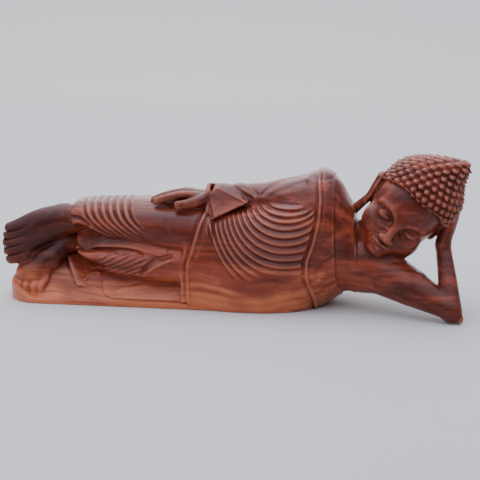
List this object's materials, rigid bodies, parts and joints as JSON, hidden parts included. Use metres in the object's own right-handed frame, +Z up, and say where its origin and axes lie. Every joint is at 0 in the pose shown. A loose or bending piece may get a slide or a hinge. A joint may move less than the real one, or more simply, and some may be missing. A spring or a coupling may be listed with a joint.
{
  "type": "reclining buddha statue",
  "caption": "Reclining Buddha carved in one block of stained wood, lying on its right side with its head propped on one hand, robe in arc folds, hair in small curls.",
  "frame": {"origin": "centre of the bounding box at the level of the flat underside", "axes": "+X from the feet to the head, along the length; the figure's face and front look to -Y; +Z up"},
  "size_m": [0.5002, 0.1231, 0.1687],
  "materials": {
    "stained_suar_wood": "suar wood, carved and sanded by hand, stained red-brown and rubbed with oil or wax to a soft gloss"
  },
  "bodies": {
    "root": {"reclining_buddha": "stained_suar_wood"}
  },
  "joints": []
}
